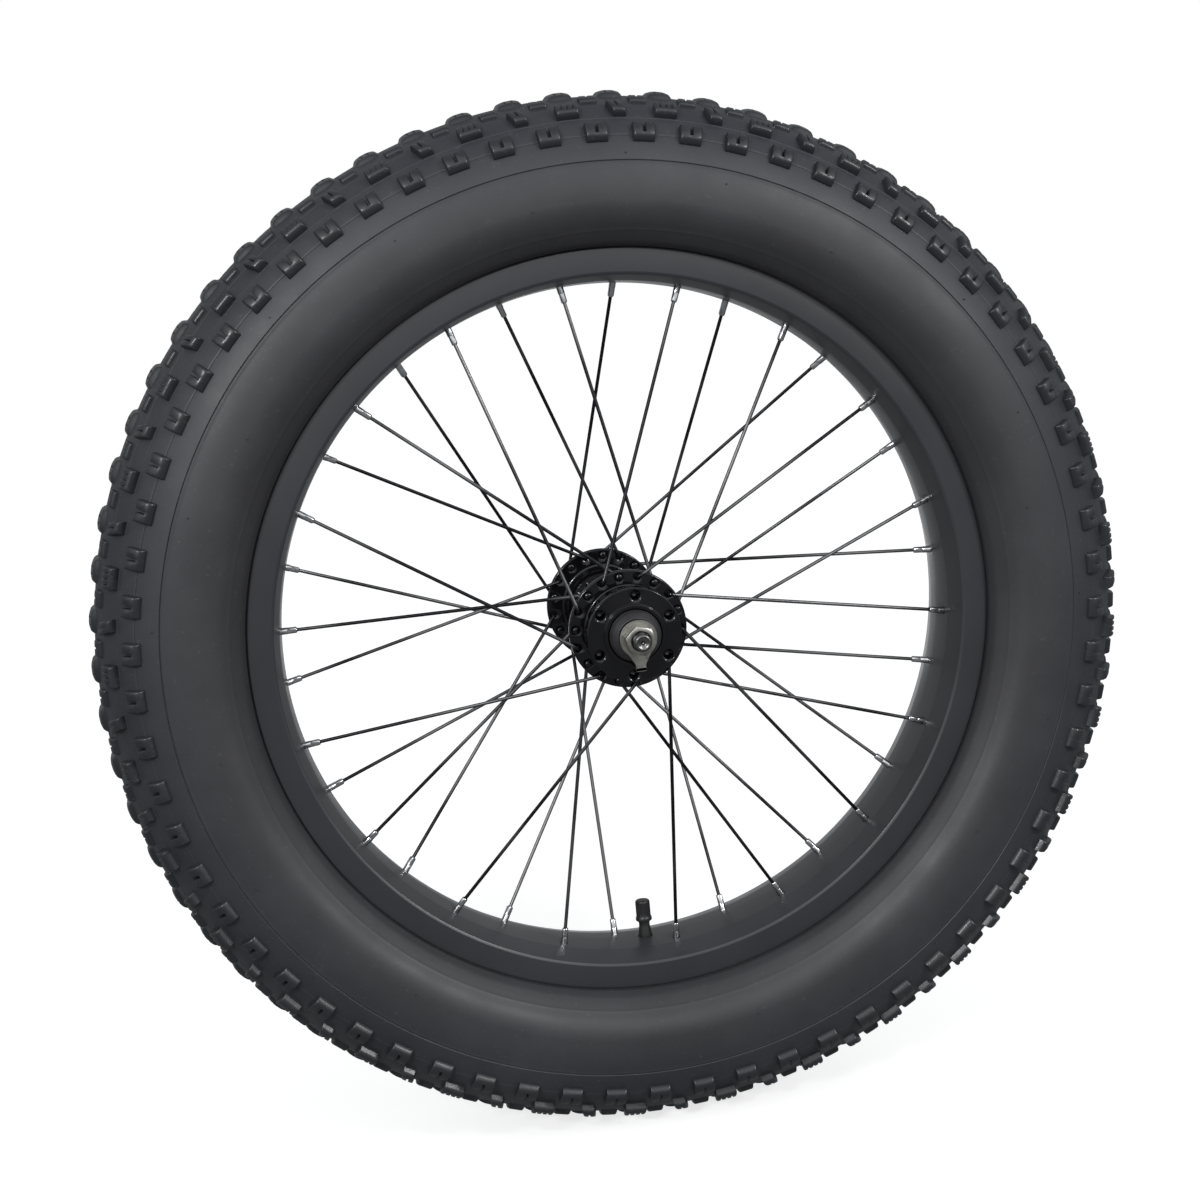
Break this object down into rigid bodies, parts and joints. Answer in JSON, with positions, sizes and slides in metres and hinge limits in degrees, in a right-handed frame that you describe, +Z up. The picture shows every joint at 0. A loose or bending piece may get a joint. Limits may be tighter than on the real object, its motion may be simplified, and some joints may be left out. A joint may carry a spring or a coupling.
{
  "type": "spoked bicycle wheel",
  "caption": "Spoked fat-tyre bicycle front wheel with knobbly tyre, black rim, crossed wire spokes, disc-brake hub and nutted axle.",
  "frame": {"origin": "the wheel's centre: on the axle's axis, halfway between the ends of the axle and between the locknut faces", "axes": "+Y along the axle, away from the disc-brake side; +Z up; the valve is at the bottom, at -Z; +X to the right when the disc side faces the viewer"},
  "size_m": [0.591, 0.168, 0.591],
  "materials": {
    "tyre_rubber": "satin moulded tyre rubber with matt tread",
    "tube_rubber": "matt butyl rubber",
    "strip_cloth": "matt moulded rubber rim strip",
    "rim_black": "satin black anodised extruded aluminium",
    "hub_black": "gloss black anodised turned and forged aluminium",
    "spoke_black": "black coated drawn steel wire",
    "nipple_silver": "bright nickel-plated brass",
    "plated_steel": "zinc-plated steel, slightly warm grey",
    "bearing_steel": "hardened and ground steel",
    "dust_cap_rubber": "dark grey moulded rubber",
    "valve_rubber": "matt black rubber over a brass stem",
    "brass": "turned brass",
    "cap_plastic": "moulded black plastic"
  },
  "bodies": {
    "axle_set": {"axle": "plated_steel", "disc_side_cone": "bearing_steel", "disc_side_locknut": "bearing_steel", "disc_side_dust_cap": "dust_cap_rubber", "plain_side_cone": "bearing_steel", "plain_side_locknut": "bearing_steel", "plain_side_dust_cap": "dust_cap_rubber"},
    "wheel": {"tyre": "tyre_rubber", "inner_tube": "tube_rubber", "rim_strip": "strip_cloth", "rim": "rim_black", "hub_shell": "hub_black", "disc_side_bearing_cup": "bearing_steel", "plain_side_bearing_cup": "bearing_steel", "valve_stem": "valve_rubber", "valve_core": "brass", "spoke_01": "spoke_black", "spoke_02": "spoke_black", "spoke_03": "spoke_black", "spoke_04": "spoke_black", "spoke_05": "spoke_black", "spoke_06": "spoke_black", "spoke_07": "spoke_black", "spoke_08": "spoke_black", "spoke_09": "spoke_black", "spoke_10": "spoke_black", "spoke_11": "spoke_black", "spoke_12": "spoke_black", "spoke_13": "spoke_black", "spoke_14": "spoke_black", "spoke_15": "spoke_black", "spoke_16": "spoke_black", "spoke_17": "spoke_black", "spoke_18": "spoke_black", "spoke_19": "spoke_black", "spoke_20": "spoke_black", "spoke_21": "spoke_black", "spoke_22": "spoke_black", "spoke_23": "spoke_black", "spoke_24": "spoke_black", "spoke_25": "spoke_black", "spoke_26": "spoke_black", "spoke_27": "spoke_black", "spoke_28": "spoke_black", "spoke_29": "spoke_black", "spoke_30": "spoke_black", "spoke_31": "spoke_black", "spoke_32": "spoke_black", "spoke_33": "spoke_black", "spoke_34": "spoke_black", "spoke_35": "spoke_black", "spoke_36": "spoke_black"},
    "disc_side_balls": {"disc_side_ball_ring": "bearing_steel"},
    "plain_side_balls": {"plain_side_ball_ring": "bearing_steel"},
    "disc_side_washer": {"disc_side_tab_washer": "plated_steel"},
    "disc_side_nut": {"disc_side_axle_nut": "plated_steel"},
    "plain_side_washer": {"plain_side_tab_washer": "plated_steel"},
    "plain_side_nut": {"plain_side_axle_nut": "plated_steel"},
    "cap": {"valve_cap": "cap_plastic"},
    "pin": {"valve_pin": "brass"}
  },
  "joints": [
    {"name": "wheel_spin", "type": "hinge", "parent": "axle_set", "child": "wheel", "pos_m": [0, 0, 0], "axis": [0, 1, 0], "continuous": true},
    {"name": "disc_side_balls_roll", "type": "hinge", "parent": "axle_set", "child": "disc_side_balls", "pos_m": [0, -0.0516, 0], "axis": [0, 1, 0], "continuous": true},
    {"name": "plain_side_balls_roll", "type": "hinge", "parent": "axle_set", "child": "plain_side_balls", "pos_m": [0, 0.0516, 0], "axis": [0, 1, 0], "continuous": true},
    {"name": "disc_side_washer_slide", "type": "slide", "parent": "axle_set", "child": "disc_side_washer", "axis": [0, -1, 0], "range_m": [0, 0.005]},
    {"name": "disc_side_nut_turn", "type": "hinge", "parent": "disc_side_washer", "child": "disc_side_nut", "pos_m": [0, -0.074, 0], "axis": [0, -1, 0], "range_deg": [0, 1800]},
    {"name": "plain_side_washer_slide", "type": "slide", "parent": "axle_set", "child": "plain_side_washer", "axis": [0, 1, 0], "range_m": [0, 0.005]},
    {"name": "plain_side_nut_turn", "type": "hinge", "parent": "plain_side_washer", "child": "plain_side_nut", "pos_m": [0, 0.074, 0], "axis": [0, 1, 0], "range_deg": [0, 1800]},
    {"name": "valve_cap_off", "type": "slide", "parent": "wheel", "child": "cap", "axis": [0, 0, 1], "range_m": [0, 0.014]},
    {"name": "valve_pin_press", "type": "slide", "parent": "wheel", "child": "pin", "axis": [0, 0, -1], "range_m": [0, 0.0015], "stiffness_N_per_m": 400}
  ],
  "couplings": [
    {"joint": "disc_side_balls_roll", "follows": "wheel_spin", "ratio": 0.59},
    {"joint": "plain_side_balls_roll", "follows": "wheel_spin", "ratio": 0.59},
    {"joint": "disc_side_washer_slide", "follows": "disc_side_nut_turn", "m_per_rad": 0.00015915},
    {"joint": "plain_side_washer_slide", "follows": "plain_side_nut_turn", "m_per_rad": 0.00015915}
  ]
}
